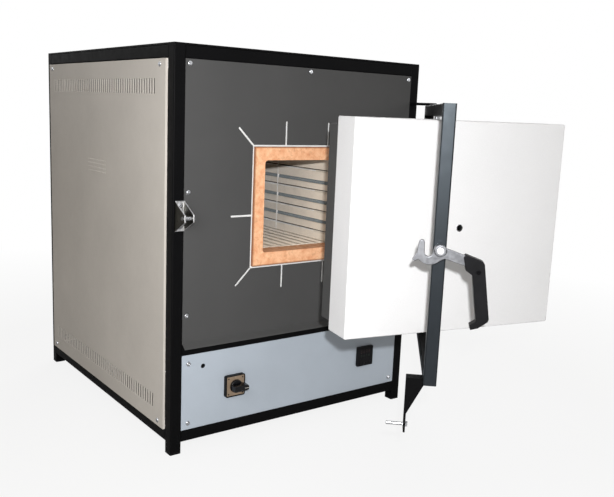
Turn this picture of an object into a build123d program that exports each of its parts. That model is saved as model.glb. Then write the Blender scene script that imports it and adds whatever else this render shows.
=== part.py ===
"""Chamber muffle furnace with a swing-arm door that turns on its own middle pivot.

Millimetres, +Z up; the loading side faces -Y. The furnace is drawn about the middle of its
four feet, and saved with the origin on the floor under the middle of the front left foot.
The pieces stand in the half-open pose: the arm frame is swung out from the right-hand hinge
and the door is turned on the arm.
"""
from build123d import *
from math import cos, radians, sin
import os

# ---------------------------------------------------------------- driving dimensions
width, depth, height = 650, 720, 840        # over the frame tubes
tube = 25                                   # square tube of the frame
tube_wall = 2
cover_thick = 4
low_rail_z = 25                             # underside of the bottom rails
mid_rail_z = 213                            # underside of the middle rails
foot_thick = 4
sheet = 1.5                                 # steel sheet of the casing
panel_proud = 5                             # side trays stand this far out of the frame
panel_gap = 1                               # gap between a panel and the tubes around it

opening_w, opening_h = 220, 198             # mouth of the muffle
muffle_w, muffle_h = 275, 256               # over the ceramic
muffle_z = 515                              # middle height of the muffle
mouth_depth = 50                            # ceramic front frame, front to back
mouth_proud = 2
chamber_w = 226                             # between the side plates
chamber_depth = 372                         # behind the front frame
brick = (muffle_w - chamber_w) / 2
cutout_gap = 3.5                            # fibre seen around the ceramic
slit_w, slit_len = 4, 52                    # stress slits in the front panel

arm_tube = 22                               # square tube of the arm frame
arm_low_z, arm_high_z = 273, 743
hinge_out = 55                              # hinge axis in front of the frame
closed_bar_x = 41                           # arm bar to the furnace's left edge when closed
arm_open = 47.5                             # degrees, arm from closed
door_turned = 60                            # degrees, door against the arm
door_w, door_h = 466, 400
door_z = 515
casing_depth = 66                           # pale outer tray of the door
inner_depth = 46                            # dark inner tray of the door
pivot_back = 100                            # door pivot behind the outer face
plug_w, plug_h = 262, 242                   # fibre plug that closes the mouth
plug_gap = 0.5                              # between plug and mouth when closed

lever_z = 509                               # lever axis height
lever_thick = 8
latch_x = 15                                # latch middle from the furnace's left edge
latch_pin_out = 36                          # cross pin in front of the frame
latch_pin_z = 505
latch_screw_z = 21                          # latch screws above and below the pin
screw_hole = 2.6                            # clearance radius of the M5 casing screws
striker_x, striker_z = 75, 184              # door-switch hole from the left edge, and height

knob_x, knob_z = 151, 129                   # cam switch, from the left edge
instrument_x, instrument_z = 127, 135       # temperature controller, from the right edge

# ---------------------------------------------------------------- worked-out places
left, right = -width / 2, width / 2
front, back = -depth / 2, depth / 2
rail_top_z = height - cover_thick - tube
mouth_front = front - mouth_proud
mouth_back = mouth_front + mouth_depth
chamber_back = mouth_back + chamber_depth
muffle_low, muffle_high = muffle_z - muffle_h / 2, muffle_z + muffle_h / 2
hearth_z = muffle_z - opening_h / 2 + 1
hinge_x, hinge_y = right - tube / 2, front - hinge_out
arm_reach = hinge_x - (left + closed_bar_x)             # hinge axis to the bar's middle
pivot_reach = hinge_x                                   # hinge axis to the door pivot
bar_end = arm_reach + arm_tube / 2
arm_angle = radians(180 + arm_open)
door_angle = radians(arm_open - door_turned)
pivot_x = hinge_x + pivot_reach * cos(arm_angle)
pivot_y = hinge_y + pivot_reach * sin(arm_angle)
door_face = -pivot_back
casing_back = door_face + casing_depth
inner_back = casing_back + inner_depth
plug_face = hinge_out - mouth_proud - plug_gap
door_low, door_high = door_z - door_h / 2, door_z + door_h / 2

# Arm frame: X along the arm, Y to the operator's side, Z up, origin on the hinge axis.
ARM = Plane(origin=(hinge_x, hinge_y, 0), x_dir=(cos(arm_angle), sin(arm_angle), 0), z_dir=(0, 0, 1))
# Door: X along the door, Y towards the chamber, origin on the pivot axis.
DOOR = Plane(origin=(pivot_x, pivot_y, 0), x_dir=(cos(door_angle), sin(door_angle), 0), z_dir=(0, 0, 1))
lever_mid = hinge_x - (left + latch_x)
# Lever: X to the operator's side, Y up, Z along the arm.
LEVER = Plane(origin=ARM.from_local_coords((lever_mid, 0, lever_z)), x_dir=ARM.y_dir, z_dir=ARM.x_dir)


# From the front left foot, which holds the origin, to the middle of the four feet.
feet_middle = Location(((width - tube) / 2, (depth - tube) / 2, 0))


def save(part, name):
    placed = part.moved(feet_middle)
    placed.label = name
    export_step(placed, "parts/" + name + ".step")


def block(low, high, mode=Mode.ADD):
    """A box between two corners, in the active part's frame."""
    middle = [(a + b) / 2 for a, b in zip(low, high)]
    size = [abs(b - a) for a, b in zip(low, high)]
    with Locations(tuple(middle)):
        Box(*size, mode=mode)


def square_tube(plane, length, size=tube, wall=tube_wall, corner=2.5):
    """A square tube that runs from the plane along its normal."""
    with BuildSketch(plane) as section:
        RectangleRounded(size, size, corner)
        RectangleRounded(size - 2 * wall, size - 2 * wall, 1, mode=Mode.SUBTRACT)
    extrude(section.sketch, amount=length)


def facing_front(x, z, y=0):
    """A plane on the loading side: X right, Y up, normal out to the operator."""
    return Plane(origin=(x, y, z), x_dir=(1, 0, 0), z_dir=(0, -1, 0))


os.makedirs("parts", exist_ok=True)

# ================================================================ FRAME
post_places = [(x, y) for x in (left + tube / 2, right - tube / 2)
               for y in (front + tube / 2, back - tube / 2)]

with BuildPart() as frame_posts:
    for x, y in post_places:
        square_tube(Plane((x, y, foot_thick)), height - cover_thick - foot_thick)
    with BuildSketch(facing_front(left + latch_x, latch_pin_z, front)):
        with Locations((0, latch_screw_z), (0, -latch_screw_z)):
            Circle(screw_hole)
    extrude(amount=-tube_wall, mode=Mode.SUBTRACT)
save(frame_posts.part, "frame_posts")


def rail_ring(z, side_inset=0):
    """Four rails between the posts, their undersides at z; the side ones may stand inwards."""
    middle = z + tube / 2
    for y in (front + tube / 2, back - tube / 2):
        square_tube(Plane((left + tube, y, middle), z_dir=(1, 0, 0)), width - 2 * tube)
    for x in (left + tube / 2 + side_inset, right - tube / 2 - side_inset):
        square_tube(Plane((x, front + tube, middle), x_dir=(1, 0, 0), z_dir=(0, 1, 0)), depth - 2 * tube)


rings = (("bottom", low_rail_z, 0), ("middle", mid_rail_z, 12), ("top", rail_top_z, 0))
for rail_name, rail_z, rail_inset in rings:
    with BuildPart() as rails:
        rail_ring(rail_z, rail_inset)
    save(rails.part, "frame_rails_" + rail_name)

with BuildPart() as foot_caps:
    for x, y in post_places:
        with BuildSketch(Plane((x, y, 0))):
            RectangleRounded(tube, tube, 2.5)
        extrude(amount=foot_thick)
        plug_size = tube - 2 * tube_wall - 0.6
        with BuildSketch(Plane((x, y, foot_thick))):
            RectangleRounded(plug_size, plug_size, 1)
        extrude(amount=12)
save(foot_caps.part, "foot_caps")

with BuildPart() as top_cover:
    block((left, front, height - cover_thick), (right, back, height))
    fillet(top_cover.edges().filter_by(Axis.Z), radius=3)
    fillet(top_cover.faces().sort_by(Axis.Z)[-1].edges(), radius=1.2)
    block((left + sheet, front + sheet, height - cover_thick), (right - sheet, back - sheet, height - sheet),
          Mode.SUBTRACT)
save(top_cover.part, "top_cover")

floor_z = low_rail_z + tube
with BuildPart() as bottom_plate:
    inset = tube + panel_gap
    block((left + inset, front + inset, floor_z - 6), (right - inset, back - inset, floor_z - 4))
    with BuildSketch(Plane.XY.offset(floor_z - 4)):
        with GridLocations(120, 110, 4, 5):
            SlotOverall(60, 8)
    extrude(amount=-2, mode=Mode.SUBTRACT)
    # Support tabs that rest on the inside of the bottom rails.
    for x in (left + inset, right - inset):
        turn = 1 if x > 0 else -1
        block((x, -200, floor_z - 6), (x + turn * panel_gap, 200, floor_z - 4))
save(bottom_plate.part, "bottom_plate")

# ================================================================ SIDE AND REAR PANELS
tray_low, tray_high = floor_z + panel_gap, rail_top_z - panel_gap
tray_front, tray_back = front + tube + panel_gap, back - tube - panel_gap
tray_depth = panel_proud
vent_count, vent_w, vent_h = 50, 4, 31
vent_first = front + 76
vent_pitch = (depth - 140) / (vent_count - 1)
panel_screw_x = 34                                      # panel screws from the furnace's sides
vent_rows = (tray_low + 49, tray_high - 53)
side_screw_ys = (front + 50, back - 50)
screw_low_z, screw_high_z = tray_low + 12, tray_high - 11
side_screw_zs = (screw_low_z, screw_high_z)


def side_panel(outer_x):
    """Folded tray: its face is at outer_x and its flanges run inwards."""
    inward = -1 if outer_x > 0 else 1
    block((outer_x, tray_front, tray_low), (outer_x + inward * tray_depth, tray_back, tray_high))
    block((outer_x + inward * sheet, tray_front + sheet, tray_low + sheet),
          (outer_x + inward * tray_depth, tray_back - sheet, tray_high - sheet), Mode.SUBTRACT)
    vents = [(vent_first + i * vent_pitch, z) for i in range(vent_count) for z in vent_rows]
    with BuildSketch(Plane((outer_x, 0, 0), x_dir=(0, 1, 0), z_dir=(1, 0, 0))) as holes:
        with Locations(*vents):
            SlotOverall(vent_h, vent_w, rotation=90)
        with Locations(*[(y, z) for y in side_screw_ys for z in side_screw_zs]):
            Circle(screw_hole)
        # Plain grid of breather holes in the middle of the panel.
        with Locations((16, tray_high - 235)):
            with GridLocations(9, 9, 12, 4):
                Circle(1.6)
    extrude(holes.sketch, amount=inward * 2 * sheet, mode=Mode.SUBTRACT)


for side_name, side_x in (("left", left - panel_proud), ("right", right + panel_proud)):
    with BuildPart() as side:
        side_panel(side_x)
    save(side.part, "side_panel_" + side_name)

rear_y = back - 3
gland_x, gland_z, gland_r = 200, 110, 10
thermo_x, thermo_z = 0, 560
rear_vent_rows = (tray_low + 44, tray_high - 60)
rear_screws = [(x, z) for x in (left + panel_screw_x, right - panel_screw_x)
               for z in (screw_low_z, mid_rail_z - 13, mid_rail_z + 85, screw_high_z)]
with BuildPart() as rear_panel:
    rear_left, rear_right = left + tube + panel_gap, right - tube - panel_gap
    block((rear_left, rear_y, tray_low), (rear_right, rear_y + sheet, mid_rail_z - panel_gap))
    block((rear_left, rear_y, mid_rail_z + tube + panel_gap), (rear_right, rear_y + sheet, tray_high))
    with BuildSketch(Plane((0, rear_y, 0), x_dir=(1, 0, 0), z_dir=(0, -1, 0))):
        with Locations(*rear_screws):
            Circle(screw_hole)
        with Locations((gland_x, gland_z)):
            Circle(gland_r)
        with Locations((thermo_x, thermo_z)):
            Circle(9)
        with Locations(*[(-150 + i * 12, z) for i in range(26) for z in rear_vent_rows]):
            SlotOverall(34, vent_w, rotation=90)
    extrude(amount=-2 * sheet, mode=Mode.SUBTRACT)
save(rear_panel.part, "rear_panel")

# ================================================================ FRONT PANEL
plate_front = front + 0.5
plate_back = plate_front + sheet
panel_left, panel_right = left + tube, right - tube
upper_low, upper_high = mid_rail_z + tube, rail_top_z
cut_w, cut_h = muffle_w + 2 * cutout_gap, muffle_h + 2 * cutout_gap
lip_out, lip_down = 12, 9
front_screw_zs = (upper_high - 9, (upper_low + upper_high) / 2 + 27, upper_low + 60)
front_screws = [(x, z) for x in (left + panel_screw_x, right - panel_screw_x) for z in front_screw_zs]
front_screws.append((1, upper_high - 8))
slit_x = 57                                             # straight slits from the middle
slit_places = [(x, muffle_z + s * (cut_h / 2 + slit_len / 2 - 2), 90)
               for x in (-slit_x, slit_x) for s in (-1, 1)]
slit_places += [(s * (cut_w / 2 + slit_len / 2 - 2), muffle_z - 17, 0) for s in (-1, 1)]
slit_places += [(sx * (cut_w / 2 + 17), muffle_z + sz * (cut_h / 2 + 17), 45 * sx * sz)
                for sx in (-1, 1) for sz in (-1, 1)]

with BuildPart() as front_panel:
    with BuildSketch(facing_front(0, 0, plate_front)):
        with Locations(((panel_left + panel_right) / 2, (upper_low + upper_high) / 2)):
            Rectangle(panel_right - panel_left, upper_high - upper_low)
        with Locations((0, muffle_z)):
            RectangleRounded(cut_w, cut_h, 3, mode=Mode.SUBTRACT)
        for x, z, turn in slit_places:
            with Locations(Location((x, z), turn)):
                SlotOverall(slit_len, slit_w, mode=Mode.SUBTRACT)
        with Locations(*front_screws):
            Circle(screw_hole, mode=Mode.SUBTRACT)
    extrude(amount=-sheet)
    # The lower edge is folded outwards and down as a drip lip.
    with BuildSketch(Plane((panel_left, 0, 0), x_dir=(0, 1, 0), z_dir=(1, 0, 0))):
        with BuildLine():
            Polyline((plate_back, upper_low + 3), (plate_back, upper_low), (plate_front, upper_low),
                     (plate_front - lip_out, upper_low - lip_down),
                     (plate_front - lip_out, upper_low - lip_down + 2),
                     (plate_front, upper_low + 2), (plate_front, upper_low + 3), close=True)
        make_face()
    extrude(amount=panel_right - panel_left)
save(front_panel.part, "front_panel")

control_screws = [(x, z) for x in (left + 40, right - 40) for z in (floor_z + 14, mid_rail_z - 19)]
knob_place = (left + knob_x, knob_z)
instrument_place = (right - instrument_x, instrument_z)
with BuildPart() as control_panel:
    with BuildSketch(facing_front(0, 0, plate_front)):
        with Locations((0, (floor_z + mid_rail_z) / 2)):
            Rectangle(panel_right - panel_left, mid_rail_z - floor_z)
        with Locations(*control_screws):
            Circle(screw_hole, mode=Mode.SUBTRACT)
        with Locations((left + striker_x, striker_z)):
            Circle(5, mode=Mode.SUBTRACT)
        with Locations(knob_place):
            Circle(11, mode=Mode.SUBTRACT)
        with Locations(instrument_place):
            Rectangle(45, 45, mode=Mode.SUBTRACT)
    extrude(amount=-sheet)
save(control_panel.part, "control_panel")

# Tabs welded to the posts behind the panels, where the casing screws bite.
tab_thick, tab_h, tab_past = 2, 16, 9
with BuildPart() as panel_tabs:
    for x, z in front_screws[:-1] + control_screws:
        post_face, tab_end = (panel_left, x + tab_past) if x < 0 else (panel_right, x - tab_past)
        block((post_face, plate_back, z - tab_h / 2), (tab_end, plate_back + tab_thick, z + tab_h / 2))
    middle_x = front_screws[-1][0]
    block((middle_x - tab_past, plate_back, upper_high - 17),
          (middle_x + tab_past, plate_back + tab_thick, upper_high))
    for x, z in rear_screws:
        post_face, tab_end = (panel_left, x + tab_past) if x < 0 else (panel_right, x - tab_past)
        block((post_face, rear_y - tab_thick, z - tab_h / 2), (tab_end, rear_y, z + tab_h / 2))
    for side in (-1, 1):
        for y in side_screw_ys:
            post_face, tab_end = (front + tube, y + tab_past) if y < 0 else (back - tube, y - tab_past)
            for z in side_screw_zs:
                block((side * right, post_face, z - 11), (side * (right - tab_thick), tab_end, z + 11))
    with BuildSketch(facing_front(0, 0, plate_back + tab_thick)):
        with Locations(*(front_screws + control_screws)):
            Circle(screw_hole)
    extrude(amount=2 * tab_thick, mode=Mode.SUBTRACT)
    with BuildSketch(facing_front(0, 0, rear_y)):
        with Locations(*rear_screws):
            Circle(screw_hole)
    extrude(amount=2 * tab_thick, mode=Mode.SUBTRACT)
    with BuildSketch(Plane((left, 0, 0), x_dir=(0, 1, 0), z_dir=(1, 0, 0))):
        with Locations(*[(y, z) for y in side_screw_ys for z in side_screw_zs]):
            Circle(screw_hole)
    extrude(amount=width, mode=Mode.SUBTRACT)
save(panel_tabs.part, "panel_tabs")

# ================================================================ MUFFLE AND INSULATION
fibre_thick = 12
wool_gap = 10                                           # insulation pack clear of the posts' inner faces
wool_x = panel_right - wool_gap                         # half width of the insulation pack
fibre_back = plate_back + fibre_thick
with BuildPart() as front_fibre_sheet:
    with BuildSketch(facing_front(0, 0, plate_back)):
        with Locations((0, (upper_low + upper_high) / 2 - 3)):
            Rectangle(2 * wool_x - 20, upper_high - upper_low - 32)
        with Locations((0, muffle_z)):
            Rectangle(muffle_w, muffle_h, mode=Mode.SUBTRACT)
    extrude(amount=-fibre_thick)
save(front_fibre_sheet.part, "front_fibre_sheet")

with BuildPart() as muffle_front_frame:
    with BuildSketch(facing_front(0, muffle_z, mouth_front)):
        Rectangle(muffle_w, muffle_h)
        RectangleRounded(opening_w, opening_h, 7, mode=Mode.SUBTRACT)
    extrude(amount=-mouth_depth)
    fillet(muffle_front_frame.faces().sort_by(Axis.Y)[0].edges(), radius=1.2)
save(muffle_front_frame.part, "muffle_front_frame")

groove_pitch, joint_pitch = 47, 48.5                    # element grooves and plate joints
groove_zs = [muffle_z - 56 + i * groove_pitch for i in range(3)]
joint_zs = [muffle_z - 79 + i * joint_pitch for i in range(4)]
groove_h, groove_d = 9, 14
plate_break = mouth_back + 226                          # joint between front and rear plates


def muffle_wall(side):
    """Two grooved plates, one behind the other; side is +1 on the right."""
    inner, outer = side * chamber_w / 2, side * muffle_w / 2
    for start, end in ((mouth_back, plate_break - 1), (plate_break + 1, chamber_back)):
        with BuildSketch(Plane((0, start, 0), x_dir=(1, 0, 0), z_dir=(0, -1, 0))) as section:
            with BuildLine() as outline:
                points = [(outer, muffle_low), (inner, muffle_low)]
                for joint_z in joint_zs:
                    points += [(inner, joint_z - 5), (inner + side * 5, joint_z),
                               (inner + side * 5, joint_z + 2), (inner, joint_z + 2)]
                points += [(inner, muffle_high), (outer, muffle_high)]
                Polyline(*points, close=True)
            make_face(outline.edges())
            for groove_z in groove_zs:
                with Locations((inner + side * groove_d / 2, groove_z)):
                    Rectangle(groove_d, groove_h, mode=Mode.SUBTRACT)
        extrude(section.sketch, amount=start - end)


for wall_name, wall_side in (("left", -1), ("right", 1)):
    with BuildPart() as wall:
        muffle_wall(wall_side)
    save(wall.part, "muffle_wall_" + wall_name)

roof_z = muffle_high - 24
with BuildPart() as muffle_roof:
    block((-chamber_w / 2, mouth_back, roof_z), (chamber_w / 2, chamber_back, muffle_high))
save(muffle_roof.part, "muffle_roof")

rib_pitch, rib_w, rib_h = 25, 12, 5
with BuildPart() as hearth_plate:
    block((-chamber_w / 2, mouth_back, muffle_low), (chamber_w / 2, chamber_back, hearth_z - rib_h))
    for i in range(-4, 5):
        middle = i * rib_pitch
        block((middle - rib_w / 2, mouth_back, hearth_z - rib_h),
              (middle + rib_w / 2, chamber_back, hearth_z))
save(hearth_plate.part, "hearth_plate")

muffle_back_end = chamber_back + 25
sheath_r = 4
with BuildPart() as muffle_back:
    block((-muffle_w / 2, chamber_back, muffle_low), (muffle_w / 2, muffle_back_end, muffle_high))
    with BuildSketch(Plane((thermo_x, chamber_back, thermo_z), x_dir=(1, 0, 0), z_dir=(0, 1, 0))):
        Circle(sheath_r)
    extrude(amount=25, mode=Mode.SUBTRACT)
save(muffle_back.part, "muffle_back")

wool_back = back - 90
wool_high = upper_high - 10
with BuildPart() as insulation_sides:
    for side in (-1, 1):
        block((side * muffle_w / 2, fibre_back, muffle_low), (side * wool_x, wool_back, muffle_high))
save(insulation_sides.part, "insulation_sides")

with BuildPart() as insulation_roof:
    block((-wool_x, fibre_back, muffle_high), (wool_x, wool_back, wool_high))
save(insulation_roof.part, "insulation_roof")

with BuildPart() as insulation_floor:
    block((-wool_x, fibre_back, upper_low), (wool_x, wool_back, muffle_low))
save(insulation_floor.part, "insulation_floor")

with BuildPart() as insulation_back:
    block((-muffle_w / 2, muffle_back_end, muffle_low), (muffle_w / 2, wool_back, muffle_high))
    with BuildSketch(Plane((thermo_x, muffle_back_end, thermo_z), x_dir=(1, 0, 0), z_dir=(0, 1, 0))):
        Circle(sheath_r)
    extrude(amount=wool_back - muffle_back_end, mode=Mode.SUBTRACT)
save(insulation_back.part, "insulation_back")

# A wall's element: rods in the grooves, resting on the groove floor.
element_r = 3
with BuildPart() as heating_elements:
    for side in (-1, 1):
        x = side * (chamber_w / 2 + 8)
        for groove_z in groove_zs:
            z = groove_z - groove_h / 2 + element_r
            with BuildSketch(Plane((x, mouth_back + 8, z), x_dir=(1, 0, 0), z_dir=(0, 1, 0))):
                Circle(element_r)
            extrude(amount=chamber_depth - 16)
save(heating_elements.part, "heating_elements")

with BuildPart() as thermocouple:
    with BuildSketch(Plane((thermo_x, chamber_back - 45, thermo_z), x_dir=(1, 0, 0), z_dir=(0, 1, 0))):
        Circle(sheath_r)
    extrude(amount=back + 4 - (chamber_back - 45))
    with BuildSketch(Plane((thermo_x, back + 1, thermo_z), x_dir=(1, 0, 0), z_dir=(0, 1, 0))):
        Circle(14)
    extrude(amount=26)
    fillet(thermocouple.faces().sort_by(Axis.Y)[-1].edges(), radius=3)
    with BuildSketch(Plane((thermo_x, rear_y + sheet, thermo_z), x_dir=(1, 0, 0), z_dir=(0, 1, 0))):
        Circle(18)
    extrude(amount=2.5)
save(thermocouple.part, "thermocouple")

# ================================================================ CONTROLS
bezel_w, bezel_d = 48, 9
with BuildPart() as switch_bezel:
    with BuildSketch(facing_front(*knob_place, plate_front)):
        RectangleRounded(bezel_w, bezel_w, 4)
        Circle(7, mode=Mode.SUBTRACT)
    extrude(amount=bezel_d)
    with BuildSketch(facing_front(*knob_place, plate_front - bezel_d)):
        Rectangle(bezel_w - 5, bezel_w - 5)
    extrude(amount=-1.2, mode=Mode.SUBTRACT)
    fillet(switch_bezel.faces().sort_by(Axis.Y)[0].edges().group_by(SortBy.LENGTH)[-1], radius=0.6)
save(switch_bezel.part, "switch_bezel")

with BuildPart() as switch_plate:
    with BuildSketch(facing_front(*knob_place, plate_front - bezel_d + 1.2)):
        Rectangle(bezel_w - 5.2, bezel_w - 5.2)
        Circle(7, mode=Mode.SUBTRACT)
    extrude(amount=0.8)
save(switch_plate.part, "switch_plate")

shaft_r = 3
with BuildPart() as switch_body:
    block((knob_place[0] - 20, plate_back, knob_z - 20), (knob_place[0] + 20, plate_back + 45, knob_z + 20))
    with BuildSketch(facing_front(*knob_place, plate_back + 30)):
        Circle(shaft_r + 0.05)
    extrude(amount=30, mode=Mode.SUBTRACT)
    for z in (knob_z - 12, knob_z + 12):
        block((knob_place[0] - 24, plate_back + 10, z - 4), (knob_place[0] + 24, plate_back + 36, z + 4))
    with BuildSketch(facing_front(*knob_place, plate_back + 30)):
        Circle(shaft_r + 0.05)
    extrude(amount=30, mode=Mode.SUBTRACT)
save(switch_body.part, "switch_body")

# Pointer knob on its shaft; the grip lies level with its point to the right.
knob_face = plate_front - bezel_d - 0.3
knob_hub_d, knob_grip_d = 6, 17
with BuildPart() as switch_knob:
    with BuildSketch(facing_front(*knob_place, knob_face)):
        Circle(15)
    extrude(amount=knob_hub_d, taper=10)
    with BuildSketch(facing_front(*knob_place, knob_face - knob_hub_d + 1)):
        with BuildLine():
            Polyline((-17, -5), (12, -6), (21, -2.5), (21, 2.5), (12, 6), (-17, 5), close=True)
        make_face()
    extrude(amount=knob_grip_d + 1, taper=6)
    fillet(switch_knob.faces().sort_by(Axis.Y)[0].edges(), radius=1.5)
    with BuildSketch(facing_front(*knob_place, knob_face + 0.3)):
        Circle(shaft_r)
    extrude(amount=0.3)
    with BuildSketch(facing_front(*knob_place, plate_back + 29.5)):
        Circle(shaft_r)
    extrude(amount=plate_back + 29.5 - knob_face)
save(switch_knob.part, "switch_knob")

with BuildPart() as controller_case:
    with BuildSketch(facing_front(*instrument_place, plate_front)):
        RectangleRounded(48, 48, 2)
    extrude(amount=7)
    instrument_mid, case_half, case_deep = instrument_place[0], 22, 95
    block((instrument_mid - case_half, plate_front, instrument_z - case_half),
          (instrument_mid + case_half, plate_front + case_deep, instrument_z + case_half))
    with BuildSketch(facing_front(*instrument_place, plate_front - 7)):
        with Locations((0, 6)):
            Rectangle(38, 24)
    extrude(amount=-1.5, mode=Mode.SUBTRACT)
save(controller_case.part, "controller_case")

with BuildPart() as controller_window:
    with BuildSketch(facing_front(*instrument_place, plate_front - 7 + 1.5)):
        with Locations((0, 6)):
            Rectangle(37.8, 23.8)
    extrude(amount=1.2)
save(controller_window.part, "controller_window")

# Relay and terminals on a rail, on a small tray over the bottom plate.
tray_z = floor_z - 4
rail_bottom, rail_face = tray_z + 2, tray_z + 8
terminal_count, terminal_pitch = 6, 14
with BuildPart() as power_relay:
    block((-110, -140, tray_z), (120, 0, rail_bottom))
    block((-100, -95, rail_bottom), (110, -65, rail_face))
    block((-60, -120, rail_face), (-15, -40, rail_face + 60))
save(power_relay.part, "power_relay")

with BuildPart() as terminal_block:
    for i in range(terminal_count):
        x = 10 + i * terminal_pitch
        block((x, -110, rail_face), (x + terminal_pitch - 2, -50, rail_face + 40))
save(terminal_block.part, "terminal_block")

# ---------------------------------------------------------------- door switch
switch_front = front + 21
plunger_r = 4
plunger_travel = 4
with BuildPart() as door_switch_body:
    x = left + striker_x
    block((x - 15, switch_front, striker_z - 40), (x + 15, switch_front + 40, striker_z + 12))
    block((x - 15, plate_back, striker_z - 48), (x + 15, plate_back + 2, striker_z - 32))
    block((x - 15, plate_back + 2, striker_z - 40), (x + 15, switch_front, striker_z - 37))
    with BuildSketch(facing_front(x, striker_z, switch_front + 16)):
        Circle(plunger_r + 0.05)
    extrude(amount=17, mode=Mode.SUBTRACT)
save(door_switch_body.part, "door_switch_body")

striker_tip = 14.0                                      # behind the frame's front when closed
plunger_tip = front + striker_tip + 0.5
with BuildPart() as door_switch_plunger:
    with BuildSketch(facing_front(left + striker_x, striker_z, switch_front + 15 - plunger_travel)):
        Circle(plunger_r)
    extrude(amount=switch_front + 15 - plunger_travel - plunger_tip)
    fillet(door_switch_plunger.faces().sort_by(Axis.Y)[0].edges(), radius=1.5)
save(door_switch_plunger.part, "door_switch_plunger")

# ---------------------------------------------------------------- cable gland
with BuildPart() as cable_gland:
    gland_plane = Plane((gland_x, rear_y - 8, gland_z), x_dir=(1, 0, 0), z_dir=(0, 1, 0))
    with BuildSketch(gland_plane):
        Circle(gland_r)
    extrude(amount=30)
    with BuildSketch(gland_plane):
        RegularPolygon(14, 6)
    extrude(amount=8)
    with BuildSketch(gland_plane.offset(8 + sheet)):
        RegularPolygon(15, 6)
    extrude(amount=7)
    with BuildSketch(gland_plane.offset(8 + sheet + 7)):
        Circle(12.5)
    extrude(amount=12, taper=8)
    with BuildSketch(gland_plane):
        Circle(5)
    extrude(amount=40, mode=Mode.SUBTRACT)
save(cable_gland.part, "cable_gland")

# ================================================================ LATCH ON THE LEFT POST
ear_gap, ear_thick, latch_h, ear_out = 16, 3, 61, 43
latch_mid_x = left + latch_x
pin_y = front - latch_pin_out
with BuildPart() as latch_bracket:
    half = ear_gap / 2 + ear_thick
    block((latch_mid_x - half, front - ear_thick, latch_pin_z - latch_h / 2),
          (latch_mid_x + half, front, latch_pin_z + latch_h / 2))
    for side in (-1, 1):
        start = latch_mid_x + side * ear_gap / 2
        with BuildSketch(Plane((start, 0, 0), x_dir=(0, 1, 0), z_dir=(1, 0, 0))):
            with BuildLine():
                Polyline((front - ear_thick, latch_pin_z - latch_h / 2 + 1),
                         (front - ear_out, latch_pin_z - 7), (front - ear_out, latch_pin_z + 7),
                         (front - ear_thick, latch_pin_z + latch_h / 2 - 1), close=True)
            make_face()
            with Locations((pin_y, latch_pin_z)):
                Circle(4, mode=Mode.SUBTRACT)
        extrude(amount=side * ear_thick)
    with BuildSketch(facing_front(latch_mid_x, latch_pin_z, front)):
        with Locations((0, latch_screw_z), (0, -latch_screw_z)):
            Circle(screw_hole)
    extrude(amount=ear_thick, mode=Mode.SUBTRACT)
save(latch_bracket.part, "latch_bracket")

with BuildPart() as latch_pin:
    with BuildSketch(Plane((latch_mid_x - 13, pin_y, latch_pin_z), x_dir=(0, 1, 0), z_dir=(1, 0, 0))):
        Circle(4)
    extrude(amount=26)
save(latch_pin.part, "latch_pin")

# ================================================================ HINGE
bracket_thick, washer = 6, 1
bracket_reach = hinge_out + 14
pin_r = 5
upper_bracket_z = arm_high_z + washer
lower_bracket_z = arm_low_z - washer - bracket_thick
with BuildPart() as hinge_brackets:
    for z in (upper_bracket_z, lower_bracket_z):
        with BuildSketch(Plane.XY.offset(z)):
            with Locations((hinge_x, front - bracket_reach / 2)):
                Rectangle(tube, bracket_reach)
        extrude(amount=bracket_thick)
    outer = hinge_brackets.edges().filter_by(Axis.Z).group_by(Axis.Y)[0]
    fillet(outer, radius=8)
    with BuildSketch(Plane.XY.offset(lower_bracket_z)):
        with Locations((hinge_x, hinge_y)):
            Circle(pin_r)
    extrude(amount=upper_bracket_z + bracket_thick - lower_bracket_z, mode=Mode.SUBTRACT)
save(hinge_brackets.part, "hinge_brackets")

pin_deep = 34
with BuildPart() as hinge_pins:
    for z, up in ((upper_bracket_z + bracket_thick, -1), (lower_bracket_z, 1)):
        with BuildSketch(Plane((hinge_x, hinge_y, z))):
            Circle(pin_r)
        extrude(amount=up * pin_deep)
    for z in (arm_high_z, arm_low_z - washer):
        with BuildSketch(Plane((hinge_x, hinge_y, z))):
            Circle(9)
            Circle(pin_r, mode=Mode.SUBTRACT)
        extrude(amount=washer)
save(hinge_pins.part, "hinge_pins")

# ================================================================ SCREWS OF THE CASING
# One dome-head screw, standing on the XY plane with its shank below.
with BuildPart(mode=Mode.PRIVATE) as dome_screw:
    with BuildSketch():
        Circle(screw_hole - 0.1)
    extrude(amount=-7)
    with BuildSketch():
        Circle(5)
    extrude(amount=2.6)
    fillet(dome_screw.faces().sort_by(Axis.Z)[-1].edges(), radius=2)
    with BuildSketch(Plane.XY.offset(2.6)):
        RegularPolygon(1.6, 6)
    extrude(amount=-1.2, mode=Mode.SUBTRACT)

screw_planes = [facing_front(x, z, plate_front) for x, z in front_screws + control_screws]
screw_planes += [facing_front(latch_mid_x, latch_pin_z + dz, front - ear_thick)
                 for dz in (-latch_screw_z, latch_screw_z)]
for outer_x, normal in ((left - panel_proud, -1), (right + panel_proud, 1)):
    screw_planes += [Plane((outer_x, y, z), x_dir=(0, 0, 1), z_dir=(normal, 0, 0))
                     for y in side_screw_ys for z in side_screw_zs]
screw_planes += [Plane((x, rear_y + sheet, z), x_dir=(1, 0, 0), z_dir=(0, 1, 0)) for x, z in rear_screws]

with BuildPart() as casing_screws:
    with Locations(*[screw_plane.location for screw_plane in screw_planes]):
        add(dome_screw.part)
save(casing_screws.part, "casing_screws")

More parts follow.
